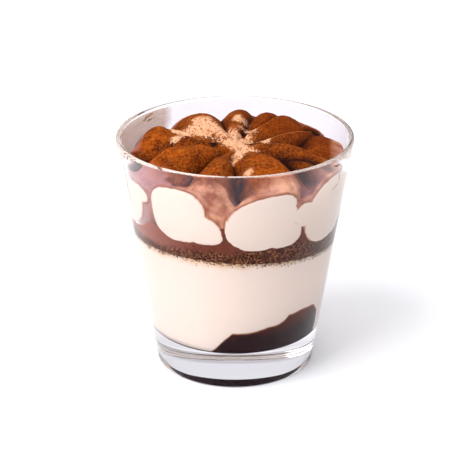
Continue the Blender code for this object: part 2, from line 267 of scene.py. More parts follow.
# ---------------------------------------------------------------------------------------------------------------
# The sponge: a piece of sponge finger soaked through with coffee, nearly black and wet, broken off slanting. It
# lies on the floor at the front right, pressed against the wall, and coffee has run out of it over the floor.
# ---------------------------------------------------------------------------------------------------------------
# x and z in mm, seen from the front.
SPONGE_OUTLINE = (
    (-8.8, 12.6), (-4.6, 17.3), (-0.9, 21.4), (5.0, 21.4), (9.5, 22.3), (17.9, 23.4), (21.3, 24.6), (23.8, 26.3),
    (24.8, 25.6), (25.6, 22.0), (25.0, 17.0), (23.4, 12.6),
)
SPONGE_DEPTH = (-32.0 * MM, -2.0 * MM)
SPONGE_ROUNDING = 0.4 * MM
SEEP_HEIGHT = 0.45 * MM  # how far coffee has crept into the cream above it


def make_sponge(higher, reach):
    """The broken sponge, or what seeped from it: that much higher, and that deep into the glass."""
    bm = bmesh.new()
    corners = [bm.verts.new((x * MM, SPONGE_DEPTH[0], z * MM + higher)) for x, z in SPONGE_OUTLINE]
    front = bm.faces.new(corners)
    made = bmesh.ops.extrude_face_region(bm, geom=[front])["geom"]
    moved = [corner for corner in made if isinstance(corner, bmesh.types.BMVert)]
    bmesh.ops.translate(bm, vec=(0, SPONGE_DEPTH[1] - SPONGE_DEPTH[0], 0), verts=moved)
    bmesh.ops.recalc_face_normals(bm, faces=bm.faces)
    bmesh.ops.bevel(
        bm, geom=bm.edges, offset=SPONGE_ROUNDING, segments=3, profile=0.5, affect="EDGES", material=-1
    )
    bmesh.ops.triangulate(bm, faces=bm.faces)
    for _ in range(7):
        long = [edge for edge in bm.edges if edge.calc_length() > 0.7 * MM]
        bmesh.ops.subdivide_edges(bm, edges=long, cuts=1)
        bmesh.ops.triangulate(bm, faces=[face for face in bm.faces if len(face.verts) > 3])
    for corner in bm.verts:
        wobble = noise.noise(corner.co * 160) * 0.4 * MM + noise.noise(corner.co * 600) * 0.15 * MM
        corner.co.z = max(corner.co.z + wobble, GLASS_FLOOR - reach)
        most = inside_radius(corner.co.z, reach)
        out = math.hypot(corner.co.x, corner.co.y)
        if out > most:
            corner.co.x *= most / out
            corner.co.y *= most / out
    return bm


def coffee_material(name, dark, light, upper):
    """Something soaked with coffee: dark purple-brown, wet, redder and lighter at its upper edge; on the sponge that
    lighter edge is partly coffee-stained cream and partly a painted highlight on its rounded top edge.
    """
    made, tree, shader = new_material(name)
    place = add(tree, "ShaderNodeTexCoord").outputs["Object"]
    height = add(tree, "ShaderNodeSeparateXYZ", {0: place}).outputs["Z"]
    # Pores and wet patches of about 4 mm.
    cloud = add(tree, "ShaderNodeTexNoise", {"Vector": place, "Scale": 260.0, "Detail": 4.0}).outputs["Fac"]
    tint = add(tree, "ShaderNodeMix", {0: cloud, 6: linear(dark), 7: linear(light)}, data_type="RGBA").outputs[2]
    ragged = add(tree, "ShaderNodeMath", {0: cloud, 1: 0.004, 2: height}, operation="MULTIPLY_ADD").outputs[0]
    # The upper colour: on the sponge partly a painted highlight where its rounded top edge catches the light.
    high = add(tree, "ShaderNodeMapRange", {"Value": ragged, "From Min": 0.0215, "From Max": 0.0275}).outputs[0]
    tint = add(tree, "ShaderNodeMix", {0: high, 6: tint, 7: linear(upper)}, data_type="RGBA").outputs[2]
    tree.links.new(tint, shader.inputs["Base Color"])
    shader.inputs["Roughness"].default_value = 0.5
    shader.inputs["Specular IOR Level"].default_value = 0.0
    return made


FILM_RINGS = (4, 10, 14)  # the rings at which its sole, climbing rim and top end


def film_place(angle, ring):
    """Coffee that seeped out: a film over the floor, its rim climbing the fillet a little."""
    sole, rim_ring, last = FILM_RINGS
    reach = FLOOR_FILLET + 2 * WETTING
    climb = 34 + 9 * noise.noise(Vector((math.cos(angle) * 1.6, math.sin(angle) * 1.6, 0.4)))
    if ring < sole:
        return FILLET_MIDDLE * ring / sole, GLASS_FLOOR - 2 * WETTING
    if ring <= rim_ring:
        turn = math.radians(-90 + climb * (ring - sole) / (rim_ring - sole))
        return FILLET_MIDDLE + reach * math.cos(turn), FILLET_TOP + reach * math.sin(turn)
    turn = math.radians(-90 + climb)
    rim = FILLET_MIDDLE + reach * math.cos(turn), FILLET_TOP + reach * math.sin(turn)
    share = (ring - rim_ring) / (last - rim_ring)
    return rim[0] * (1.0 - share), rim[1] + (GLASS_FLOOR + 4 * WETTING - rim[1]) * min(1.0, share * 4)


coffee_film = piece(
    "coffee_film", round_body(ROUND_STEPS, FILM_RINGS[-1], film_place),
    coffee_material("coffee_film_wet", "200E18", "40222E", "40222E"),
)
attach(coffee_film, "root")

seep = piece(
    "coffee_seep", make_sponge(SEEP_HEIGHT, 1.7 * WETTING),
    coffee_material("cream_stained_with_coffee", "7A4A34", "C89A78", "B07850"),
)
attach(seep, "root")

sponge = piece(
    "sponge_finger", make_sponge(0.0, 2.4 * WETTING),
    coffee_material("sponge_soaked_in_coffee", "14070A", "2E1216", "5A2A20"),
)
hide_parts("coffee_sponge")
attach(sponge, "root")

# ---------------------------------------------------------------------------------------------------------------
# The cocoa layer: cocoa powder and crumbs on the lower cream, moist from it. Piping the rosette squeezed a smooth
# wet part of it up the glass between the petals.
# ---------------------------------------------------------------------------------------------------------------
COCOA_LEVEL = 52.6 * MM
COCOA_RINGS = (4, 20, 26, 32)  # the rings at which its sole, side, drawn-in shoulder and top end
SMEAR_TILT = -0.05  # less than 0: the lower edge of the squeezed part climbs towards +X
# Where the squeezed cocoa stands highest: angle in degrees counterclockwise from +X, height, width in degrees.
COCOA_RISES = (
    (221, 58.6 * MM, 9.0), (264, 61.6 * MM, 5.5), (306, 60.0 * MM, 5.0), (351, 59.0 * MM, 7.0),
    (383, 60.5 * MM, 6.0), (418, 58.5 * MM, 7.0), (459, 61.0 * MM, 6.0), (494, 59.5 * MM, 7.0), (536, 60.0 * MM, 6.0),
)


def cocoa_edge(angle):
    """The height that the squeezed cocoa reaches on the wall."""
    degrees = math.degrees(angle)
    base = level(COCOA_LEVEL, wall_radius(COCOA_LEVEL) * math.cos(angle)) + 1.8 * MM
    height = base
    for middle, top, width in COCOA_RISES:
        turn = (degrees - middle + 180) % 360 - 180
        height = max(height, base + (top - base) * math.exp(-((turn / width) ** 2)))
    return height


def cocoa_place(angle, ring):
    sole, side, shoulder, top = COCOA_RINGS
    bottom = cream_edge(angle) - 0.15 * MM
    edge = cocoa_edge(angle)
    if ring < sole:
        radius = wall_radius(bottom) * ring / sole
        return radius, level(CREAM_LEVEL, radius * math.cos(angle))
    if ring <= side:
        height = bottom + (edge - bottom) * (ring - sole) / (side - sole)
        return wall_radius(height) + 0.5 * WETTING, height
    if ring <= shoulder:
        fall = edge - level(COCOA_LEVEL, wall_radius(COCOA_LEVEL) * math.cos(angle))
        height = edge - fall * (ring - side) / (shoulder - side)
        return wall_radius(height) - 0.5 * MM - 0.25 * MM * (ring - side), height
    radius = (wall_radius(COCOA_LEVEL) - 2 * MM) * (1.0 - (ring - shoulder) / (top - shoulder))
    return radius, level(COCOA_LEVEL, radius * math.cos(angle))


def cocoa_material():
    """Moist cocoa: a dark crumbly band, and above it the smooth red-brown smear that was squeezed up."""
    made, tree, shader = new_material("cocoa_moist_crumbs")
    place = add(tree, "ShaderNodeTexCoord").outputs["Object"]
    parts = add(tree, "ShaderNodeSeparateXYZ", {0: place})
    tilt = add(
        tree, "ShaderNodeMath", {0: parts.outputs["X"], 1: SMEAR_TILT, 2: parts.outputs["Z"]}, operation="MULTIPLY_ADD"
    ).outputs[0]
    # Clumps of about 2.4 mm.
    cloud = add(tree, "ShaderNodeTexNoise", {"Vector": place, "Scale": 420.0, "Detail": 4.0}).outputs["Fac"]
    ragged = add(tree, "ShaderNodeMath", {0: cloud, 1: 0.0035, 2: tilt}, operation="MULTIPLY_ADD").outputs[0]
    smear = add(
        tree, "ShaderNodeMapRange", {"Value": ragged, "From Min": 0.0532, "From Max": 0.0560},
        interpolation_type="SMOOTHSTEP"
    ).outputs[0]
    # Grains of about 0.6 mm: real cocoa is finer, and is drawn this coarse so that it shows.
    grain = add(tree, "ShaderNodeTexNoise", {"Vector": place, "Scale": 1600.0, "Detail": 2.0}).outputs["Fac"]
    steep = add(
        tree, "ShaderNodeMapRange", {"Value": grain, "From Min": 0.46, "From Max": 0.70}
    ).outputs[0]
    crumbs = add(
        tree, "ShaderNodeMix", {0: steep, 6: linear("34160E"), 7: linear("9C6444")}, data_type="RGBA"
    ).outputs[2]
    wet = add(tree, "ShaderNodeMix", {0: cloud, 6: linear("56241C"), 7: linear("7E4434")}, data_type="RGBA").outputs[2]
    paler = add(
        tree, "ShaderNodeMapRange", {"Value": parts.outputs["X"], "From Min": -0.012, "From Max": -0.030}
    ).outputs[0]
    wet = add(tree, "ShaderNodeMix", {0: paler, 6: wet, 7: linear("A2685A")}, data_type="RGBA").outputs[2]
    tint = add(tree, "ShaderNodeMix", {0: smear, 6: crumbs, 7: wet}, data_type="RGBA").outputs[2]
    tree.links.new(tint, shader.inputs["Base Color"])
    shader.inputs["Roughness"].default_value = 0.6
    shader.inputs["Specular IOR Level"].default_value = 0.0
    return made


cocoa_band = piece("cocoa_band", round_body(FILLING_COLUMNS, COCOA_RINGS[-1], cocoa_place), cocoa_material())
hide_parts("cocoa_layer")
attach(cocoa_band, "root")

# ---------------------------------------------------------------------------------------------------------------
# The rosette: cream piped through a star nozzle in uneven petals that meet in the middle. Each petal presses flat
# against the wall, and its top is dusted with cocoa powder.
# ---------------------------------------------------------------------------------------------------------------
# Each petal is a ridge that runs out from the middle: the angle of its crest at 8, 18 and 28 mm, in degrees
# counterclockwise from +X; the crest's height in mm at 8, 18, 28 and 36.3 mm; how many degrees its flanks reach to
# the clockwise and the other side; and how sharp they are (1 is a straight flank, 3 a rounded one).
PETALS = (
    (172, 167, 160, 75.2, 77.0, 79.0, 71.5, 15, 24, 2.0, 3.0),
    (185, 185, 188, 77.0, 77.4, 70.5, 66.5, 18, 16, 2.0, 2.0),
    (216, 214, 218, 76.8, 79.0, 78.8, 72.5, 15, 21, 4.5, 3.0),
    (250, 256, 257, 75.4, 78.0, 77.4, 75.0, 19, 14, 2.2, 2.2),
    (298, 303, 305, 76.8, 78.3, 77.4, 72.8, 33, 12, 3.6, 1.4),
    (332, 328, 324, 74.0, 74.2, 76.0, 72.8, 12, 18, 1.6, 2.0),
    (356, 351, 339, 76.6, 77.3, 76.4, 74.0, 34, 12, 1.5, 1.2),
    (0, 6, 12, 75.0, 74.6, 77.0, 74.2, 30, 14, 2.5, 1.5),
    (14, 16, 24, 76.4, 78.4, 76.8, 71.0, 24, 10, 1.4, 1.2),
    (36, 32, 28, 75.0, 76.0, 77.8, 72.0, 14, 10, 1.6, 1.6),
    (66, 58, 54, 76.4, 77.8, 78.6, 73.0, 24, 7, 1.4, 1.2),
    (78, 74, 67, 75.0, 76.0, 78.3, 73.4, 15, 12, 2.6, 2.2),
    (88, 87, 86, 76.4, 79.2, 78.8, 73.2, 13, 17, 2.0, 2.6),
    (125, 120, 117, 77.6, 78.9, 78.2, 73.0, 22, 22, 2.2, 2.2),
    (150, 148, 146, 76.0, 76.6, 76.0, 73.0, 14, 14, 1.8, 1.8),
)
PETAL_RADII = (0.0, 8.0, 18.0, 28.0, 36.3)
GROOVE_DEPTHS = (0.2, 1.8, 5.0, 7.0, 7.5)
DIP_HEIGHT = 75.4
# Single swellings and hollows left by the nozzle: x and y in mm, how wide, how high.
LUMPS = (
    (-17.0, 1.2, 3.6, 1.8), (-22.7, 6.1, 2.6, -1.6), (-16.1, -3.7, 1.5, -1.2), (-24.5, -1.3, 3.0, -1.5),
    (-30.0, -5.0, 5.0, -6.0), (6.4, -4.0, 1.7, -1.5), (3.3, 7.3, 1.5, -1.0), (-1.4, 3.8, 5.0, 1.0),
    (24.5, 0.8, 2.2, -2.0), (-11.0, -6.5, 2.0, 0.7), (-8.5, -3.0, 1.3, -0.7),
    (-21.0, -14.0, 3.0, 0.6), (-14.0, -14.0, 2.2, 0.5), (-23.0, -18.0, 2.0, -0.7),
)
# Where the petals meet the wall: the middle's angle and height, the reach to the right and left in degrees (seen
# from outside), the reach up and down in mm, how far it leans in degrees a mm, how far it stands off the wall in mm
# (less than 0 is pressed on), and how square it is (2 is an ellipse).
PADS = (
    (192, 63.0, 21.5, 30.0, 8.8, 8.9, 0.3, -0.12, 2.4),
    (208, 67.6, 11.5, 14.0, 3.0, 3.4, 0.0, -0.12, 2.2),
    (239, 64.4, 15.5, 16.0, 9.0, 9.4, 0.0, -0.12, 2.6),
    (253, 59.7, 10.0, 13.0, 5.4, 4.6, -0.5, -0.12, 2.4),
    (260.5, 69.4, 6.5, 7.0, 6.6, 8.4, 0.0, 0.45, 2.2),
    (285.5, 62.3, 17.5, 20.5, 9.5, 9.4, 0.35, -0.12, 2.0),
    (297, 57.4, 10.5, 12.0, 4.2, 4.3, 0.0, -0.12, 2.2),
    (293.5, 68.0, 8.5, 13.0, 4.1, 5.0, 0.0, -0.12, 2.4),
    (328, 61.6, 22.0, 18.5, 11.8, 10.6, 0.15, -0.12, 2.1),
    (308, 63.2, 10.0, 5.6, 4.2, 4.0, 0.0, -0.12, 2.0),
    (367, 62.6, 15.5, 17.0, 9.8, 9.6, 0.0, -0.12, 2.4),
    (400, 63.0, 17.0, 17.0, 9.4, 9.4, 0.3, -0.12, 2.4),
    (438, 62.6, 20.5, 20.5, 9.6, 9.2, -0.3, -0.12, 2.3),
    (476, 63.2, 17.0, 16.5, 9.6, 9.6, 0.0, -0.12, 2.4),
    (508, 62.6, 14.0, 16.0, 9.2, 9.0, 0.3, -0.12, 2.3),
)
PAD_COVER = 0.8  # mm of cream above every pad
ROSETTE_LIMIT = 79.95  # mm; the rim is at 80
PAD_WALL = 34.5  # mm, the radius of the wall about halfway up the pads
RECESS_LIMIT = 3.0  # mm by which the side draws back at most


def through(values, radius):
    """The smooth curve through the values at PETAL_RADII, flat in the middle and steep at the wall."""
    last = len(values) - 1
    k = min(last - 1, max(j for j in range(last + 1) if PETAL_RADII[j] <= radius))
    slopes = []
    for j in (k, k + 1):
        low, high = max(j - 1, 0), min(j + 1, last)
        slopes.append((values[high] - values[low]) / (PETAL_RADII[high] - PETAL_RADII[low]))
    if k == 0:
        slopes[0] = 0.0
    if k == last - 1:
        slopes[1] *= 1.6
    span = PETAL_RADII[k + 1] - PETAL_RADII[k]
    t = min(1.0, (radius - PETAL_RADII[k]) / span)
    start = (2 * t ** 3 - 3 * t ** 2 + 1) * values[k] + (t ** 3 - 2 * t ** 2 + t) * span * slopes[0]
    return start + (3 * t ** 2 - 2 * t ** 3) * values[k + 1] + (t ** 3 - t ** 2) * span * slopes[1]


@functools.cache
def petals_at(radius):
    """Every petal at that radius: its crest's angle and height, its reach and its sharpness; and the groove's depth."""
    found = []
    for first, middle, outer, h8, h18, h28, h36, right, left, sharp_right, sharp_left in PETALS:
        start = middle + (first - middle + 180) % 360 - 180
        end = middle + (outer - middle + 180) % 360 - 180
        crest = through((start, start, middle, end, end), radius)
        found.append((crest, through((DIP_HEIGHT, h8, h18, h28, h36), radius), right, left, sharp_right, sharp_left))
    return found, through(GROOVE_DEPTHS, radius)


def top_height(degrees, radius):
    """The height of the rosette's top in mm, and how near it is to a crest and to a groove (0 to 1)."""
    petals, depth = petals_at(round(radius, 2))
    heights = []
    for crest, height, right, left, sharp_right, sharp_left in petals:
        turn = (degrees - crest + 180) % 360 - 180
        share = turn / left if turn > 0 else -turn / right
        line = max(0.0, 1.0 - abs(math.radians(turn)) * radius / 0.4) if sharp_left < 1.3 else 0.0
        heights.append((height - depth * share ** (sharp_left if turn > 0 else sharp_right), line))
    heights.sort(reverse=True)
    height = heights[0][0] + 0.15 * math.exp(-(heights[0][0] - heights[1][0]) / 0.3)
    x, y = radius * math.cos(math.radians(degrees)), radius * math.sin(math.radians(degrees))
    for middle_x, middle_y, spread, rise in LUMPS:
        away = ((x - middle_x) ** 2 + (y - middle_y) ** 2) / spread ** 2
        if away < 9:
            height += rise * math.exp(-away)
    return height, heights[0][1], math.exp(-(heights[0][0] - heights[1][0]) / 2.2)


def pad_parts(degrees, height):
    """For every pad: how far the point on the wall lies outside it in mm (inside is negative), and its stand-off."""
    found = []
    for middle, middle_height, right, left, up, down, lean, stand, square in PADS:
        rise = height - middle_height
        turn = (degrees - middle + 180) % 360 - 180 - lean * rise
        side = turn / (right if turn > 0 else left)
        climb = rise / (up if rise > 0 else down)
        reach = (abs(side) ** square + abs(climb) ** square) ** (1 / square)
        found.append(((reach - 1.0) * min(math.radians(right) * PAD_WALL, up), stand))
    return found


def pad_top(degrees):
    """The height up to which pads cover the wall at that angle, in mm."""
    top = 0.0
    for middle, middle_height, right, left, up, _, lean, _, square in PADS:
        turn = (degrees - middle + 180) % 360 - 180 - lean * up * 0.5
        side = min(1.0, abs(turn) / (right if turn > 0 else left))
        if side < 1.0:
            top = max(top, middle_height + up * (1.0 - side ** square) ** (1 / square))
    return top


def side_recess(degrees, height):
    """How far the cream stands back from the wall in mm; negative where it presses into it."""
    wobble = 0.25 * noise.noise(Vector((degrees * 0.35, height * 0.9, 1.7)))
    recess = RECESS_LIMIT
    for outside, stand in pad_parts(degrees, height):
        outside += wobble
        if outside < 0:
            recess = min(recess, max(stand, outside * 0.5) if stand < 0 else stand)
        else:
            recess = min(recess, max(0.0, stand) + 0.32 * outside + 0.11 * outside * outside)
    return recess


ROSETTE_COLUMNS = 480
ROSETTE_RINGS = 186
SOLE_RINGS = 4
SIDE_RINGS = 96
FOOT_RECESS, FOOT_RISE = 0.7, 1.2  # in mm: how far the side draws in at its foot, and up to what height
WALL_BLEND = 5.0  # mm from the wall over which the top rises to cover the pads


@functools.cache
def wall_top(degrees):
    """Where the top meets the wall: as the petals alone would, and with the pads covered."""
    rim = top_height(degrees, PETAL_RADII[-1])[0]
    return rim, max(rim, pad_top(degrees) + PAD_COVER)


def rosette_place(angle, ring):
    degrees = math.degrees(angle)
    sole = (level(COCOA_LEVEL, wall_radius(COCOA_LEVEL) * math.cos(angle)) - 0.3 * MM) / MM
    rim, top = wall_top(degrees)
    if ring < SOLE_RINGS:
        return (wall_radius(sole * MM) - 2 * MM) * ring / SOLE_RINGS, sole * MM
    if ring <= SOLE_RINGS + SIDE_RINGS:
        height = sole + (top - sole) * (ring - SOLE_RINGS) / SIDE_RINGS
        foot = FOOT_RECESS * (1.0 - (height - sole) / FOOT_RISE)
        recess = side_recess(degrees, height)
        return wall_radius(height * MM) - (max(foot, recess) if foot > 0 else recess) * MM, height * MM
    edge = wall_radius(top * MM) / MM - side_recess(degrees, top)
    share = (ring - SOLE_RINGS - SIDE_RINGS) / (ROSETTE_RINGS - SOLE_RINGS - SIDE_RINGS)
    radius = edge * (1.0 - share)
    blend = max(0.0, 1.0 - (edge - radius) / WALL_BLEND)
    height = top_height(degrees, min(PETAL_RADII[-1], radius * PETAL_RADII[-1] / edge))[0]
    height += (top - rim) * blend * blend * (3 - 2 * blend)
    spot = Vector((radius * math.cos(angle), radius * math.sin(angle), 0.0))
    powder = 0.14 * noise.noise(spot * 0.9) + 0.10 * noise.noise(spot * 2.3)
    return radius * MM, min(height + powder * min(1.0, share * 14), ROSETTE_LIMIT) * MM


def rosette_material():
    """Piped cream under cocoa powder: matt and grainy, thin in the middle, with painted shade in the grooves, the deep
    places and towards +X and +Y, and paler crests that are partly a painted highlight.
    """
    made, tree, shader = new_material("whipped_cream_with_cocoa_powder")
    place = add(tree, "ShaderNodeTexCoord").outputs["Object"]
    parts = add(tree, "ShaderNodeSeparateXYZ", {0: place})
    across = parts.outputs["X"]
    # Painted shade: the powder and the paler colour of its crests are darker towards +X and +Y, away from the key
    # light.
    away = add(tree, "ShaderNodeMath", {0: parts.outputs["Y"], 1: 0.8, 2: across}, operation="MULTIPLY_ADD").outputs[0]
    painted_shade_back_right = add(tree, "ShaderNodeMapRange", {"Value": away, "From Min": 0.010, "From Max": 0.028}).outputs[0]
    # Drifts of powder of about 5 mm, and its grains, drawn at 0.8 mm so that they show.
    cloud = add(
        tree, "ShaderNodeTexNoise", {"Vector": place, "Scale": 210.0, "Detail": 6.0, "Roughness": 0.65}
    ).outputs["Fac"]
    fine = add(tree, "ShaderNodeTexNoise", {"Vector": place, "Scale": 1300.0, "Detail": 3.0}).outputs["Fac"]
    even = add(tree, "ShaderNodeMapRange", {"Value": cloud, "From Min": 0.38, "From Max": 0.62}).outputs[0]
    powder = add(
        tree, "ShaderNodeMix", {0: even, 6: linear("561802"), 7: linear("9C4404")}, data_type="RGBA"
    ).outputs[2]
    speck = add(tree, "ShaderNodeMapRange", {"Value": fine, "From Min": 0.40, "From Max": 0.70}).outputs[0]
    grainy = add(
        tree, "ShaderNodeMix", {0: speck, 6: linear("481202"), 7: linear("C47224")}, data_type="RGBA"
    ).outputs[2]
    powder = add(tree, "ShaderNodeMix", {0: 0.4, 6: powder, 7: grainy}, data_type="RGBA").outputs[2]
    painted_shade = add(tree, "ShaderNodeMath", {0: painted_shade_back_right, 1: 0.6}, operation="MULTIPLY").outputs[0]
    powder = add(tree, "ShaderNodeMix", {0: painted_shade, 6: powder, 7: linear("6A2806")}, data_type="RGBA").outputs[2]
    # Painted shade: the powder darkens in the petals' grooves, in low deep places and at the spots of painted shade.
    groove = add(tree, "ShaderNodeAttribute", attribute_name="groove").outputs["Fac"]
    deep = add(tree, "ShaderNodeMix", {0: groove, 6: powder, 7: linear("220803")}, data_type="RGBA").outputs[2]
    # Paler along the crests: partly cocoa rubbed thin there, partly a painted highlight where the light catches them.
    crest = add(tree, "ShaderNodeAttribute", attribute_name="crest").outputs["Fac"]
    worn_and_highlight = add(tree, "ShaderNodeMath", {0: crest, 1: 0.55}, operation="MULTIPLY").outputs[0]
    rubbed_and_highlight = add(
        tree, "ShaderNodeMix", {0: painted_shade_back_right, 6: linear("C88C5C"), 7: linear("B47226")}, data_type="RGBA"
    ).outputs[2]
    powder = add(tree, "ShaderNodeMix", {0: worn_and_highlight, 6: deep, 7: rubbed_and_highlight}, data_type="RGBA").outputs[2]
    smear = add(tree, "ShaderNodeAttribute", attribute_name="smear").outputs["Fac"]
    mauve = add(tree, "ShaderNodeMix", {0: even, 6: linear("A05838"), 7: linear("E4AC88")}, data_type="RGBA").outputs[2]
    lighter = add(tree, "ShaderNodeMapRange", {"Value": across, "From Min": -0.012, "From Max": -0.028}).outputs[0]
    mauve = add(tree, "ShaderNodeMix", {0: lighter, 6: mauve, 7: linear("B4827A")}, data_type="RGBA").outputs[2]
    # Painted shade in the grooves of the hazy cream too.
    mauve = add(tree, "ShaderNodeMix", {0: groove, 6: mauve, 7: linear("84504C")}, data_type="RGBA").outputs[2]
    # Haze on the wall in patches of about 13 mm.
    hazy = add(tree, "ShaderNodeTexNoise", {"Vector": place, "Scale": 75.0, "Detail": 2.0}).outputs["Fac"]
    violet = add(
        tree, "ShaderNodeMapRange", {"Value": hazy, "From Min": 0.45, "From Max": 0.62, "To Max": 0.6}
    ).outputs[0]
    mauve = add(tree, "ShaderNodeMix", {0: violet, 6: mauve, 7: linear("8A5A62")}, data_type="RGBA").outputs[2]
    border = add(tree, "ShaderNodeAttribute", attribute_name="border").outputs["Fac"]
    mauve = add(tree, "ShaderNodeMix", {0: border, 6: mauve, 7: linear("8A4420")}, data_type="RGBA").outputs[2]
    fatty = add(tree, "ShaderNodeMath", {0: smear, 1: 0.85}, operation="MULTIPLY").outputs[0]
    powder = add(tree, "ShaderNodeMix", {0: fatty, 6: powder, 7: mauve}, data_type="RGBA").outputs[2]
    dust = add(tree, "ShaderNodeAttribute", attribute_name="dust").outputs["Fac"]
    # thin also carries the painted highlights on the petals, drawn as cream showing through thin cocoa.
    thin = add(tree, "ShaderNodeAttribute", attribute_name="thin").outputs["Fac"]
    left = add(tree, "ShaderNodeMath", {0: thin, 1: -1.15, 2: dust}, operation="MULTIPLY_ADD").outputs[0]
    spread = add(tree, "ShaderNodeMath", {0: fine, 1: 2.4, 2: left}, operation="MULTIPLY_ADD").outputs[0]
    spread = add(tree, "ShaderNodeMath", {0: cloud, 1: 1.4, 2: spread}, operation="MULTIPLY_ADD").outputs[0]
    cover = add(tree, "ShaderNodeMapRange", {"Value": spread, "From Min": 1.8, "From Max": 2.25}).outputs[0]
    cover = add(tree, "ShaderNodeMath", {0: cover, 1: dust}, operation="MULTIPLY").outputs[0]
    cream = add(tree, "ShaderNodeMix", {0: dust, 6: linear("EADBCD"), 7: linear("DCA680")}, data_type="RGBA").outputs[2]
    tint = add(tree, "ShaderNodeMix", {0: cover, 6: cream, 7: powder}, data_type="RGBA").outputs[2]
    tree.links.new(tint, shader.inputs["Base Color"])
    rough = add(tree, "ShaderNodeMath", {0: fine, 1: dust}, operation="MULTIPLY").outputs[0]
    bump = add(tree, "ShaderNodeBump", {"Height": rough, "Distance": 0.0004, "Strength": 0.8})
    tree.links.new(bump.outputs[0], shader.inputs["Normal"])
    shader.inputs["Roughness"].default_value = 0.8
    shader.inputs["Specular IOR Level"].default_value = 0.05
    return made


# Small deep places with painted shade: x and y in mm and how far they reach.
PAINTED_SHADE_SPOTS = (
    (3.3, 11.0, 2.6), (5.4, 1.2, 2.4), (-7.0, -0.7, 2.2), (-28.5, -5.0, 4.5), (1.0, -27.0, 4.0), (-13.0, 1.5, 1.6),
)
# Where the cocoa is thin, round the middle, and four painted highlights on the petals, drawn as thin cocoa, at
# (-24, -4), (-18.5, 1.5), (4, -24) and (1, 17): x and y in mm and how far it reaches.
THIN_DUST_AND_HIGHLIGHTS = (
    (-19, 14, 6), (-15, 12, 8), (-9, 11, 8), (-3, 8, 8), (2, 6, 7), (4, 12, 5), (0, 1, 7), (3, -3, 6), (2, -8, 5),
    (0.5, -12, 4), (10, 2.5, 2.6), (-24, -4, 3.6), (-18.5, 1.5, 4), (4, -24, 3), (1, 17, 3), (-11, 17, 6), (2, 18, 4),
)


def dust_rosette(bm):
    """Marks each point for the material: dust is how much cocoa lies there, none on the pads and full on top; thin is
    where the cream shows through it, and the painted highlights on the petals; crest and groove are the petals',
    crest carrying a partly painted highlight and groove painted shade in the grooves and deep places; smear is the
    hazy cream that faces the wall; and border is the line round a pad."""
    mark, thin = bm.verts.layers.float.new("dust"), bm.verts.layers.float.new("thin")
    ridge, groove = bm.verts.layers.float.new("crest"), bm.verts.layers.float.new("groove")
    smear, border = bm.verts.layers.float.new("smear"), bm.verts.layers.float.new("border")
    bm.normal_update()
    for corner in bm.verts:
        x, y = corner.co.x / MM, corner.co.y / MM
        out = math.hypot(x, y)
        back = wall_radius(corner.co.z) / MM - out
        dust = min(1.0, max(0.0, (back + 0.02) / 0.12))
        # bare also holds the painted highlights on the petals.
        bare_and_highlight = max(0.0, max(1.0 - math.hypot(x - u, y - v) / reach for u, v, reach in THIN_DUST_AND_HIGHLIGHTS))
        corner[mark] = dust
        # Spots of painted shade; the cream does not show through the cocoa there.
        dark = max(0.0, max(1.0 - math.hypot(x - u, y - v) / reach for u, v, reach in PAINTED_SHADE_SPOTS))
        corner[thin] = min(1.0, 1.6 * bare_and_highlight) * (1.0 - min(1.0, 1.5 * dark))
        facing = (corner.normal.x * x + corner.normal.y * y) / max(out, 0.001)
        outside = min(1.0, max(0.0, (out - 30.5) / 3.0)) * min(1.0, max(0.0, (77.5 - corner.co.z / MM) / 2.0))
        corner[smear] = outside * min(1.0, max(0.0, 1.8 * facing + 0.15))
        corner[border] = max(0.0, 1.0 - abs(back - 0.14) / 0.2)
        if back > 1.0 and corner.co.z > 68 * MM:
            _, near_crest, near_groove = top_height(math.degrees(math.atan2(y, x)) % 360, out)
            corner[ridge] = near_crest * min(1.0, out / 12)
            # groove holds painted shade: in the grooves, lower than 74 mm and at the spots of painted shade.
            low = min(1.0, (74 - corner.co.z / MM) / 5)
            corner[groove] = max(min(1.0, 1.1 * near_groove) * min(1.0, out / 13), low, min(1.0, 1.6 * dark))
    return bm


rosette_body = round_body(ROSETTE_COLUMNS, ROSETTE_RINGS, rosette_place)
rosette = piece("piped_rosette", dust_rosette(rosette_body), rosette_material())
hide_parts("cream_rosette")
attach(rosette, "root")

# ---------------------------------------------------------------------------------------------------------------
# The veil: cream fat that the piping left on the inside of the wall, above the cream. It is nearly clear at the
# front, a little milky at the back, and thick and beige at the back left.
# ---------------------------------------------------------------------------------------------------------------
VEIL_HEIGHTS = (66.0 * MM, 79.1 * MM)
VEIL_GAP = 0.03 * MM  # off the wall, so that its face and the glass's don't coincide
VEIL_THICKNESS = 0.04 * MM


def make_veil():
    bm = bmesh.new()
    low, high = VEIL_HEIGHTS
    outline = [(wall_radius(low + (high - low) * k / 6) - VEIL_GAP, low + (high - low) * k / 6) for k in range(7)]
    outline += [(radius - VEIL_THICKNESS, height) for radius, height in reversed(outline)]
    corners = [bm.verts.new((x, 0.0, z)) for x, z in outline]
    edges = [bm.edges.new(pair) for pair in zip(corners, corners[1:] + corners[:1])]
    bmesh.ops.spin(
        bm, geom=corners + edges, cent=(0, 0, 0), axis=(0, 0, 1), angle=math.tau, steps=ROUND_STEPS, use_merge=True
    )
    bmesh.ops.remove_doubles(bm, verts=bm.verts, dist=0.000005)
    bmesh.ops.recalc_face_normals(bm, faces=bm.faces)
    return bm


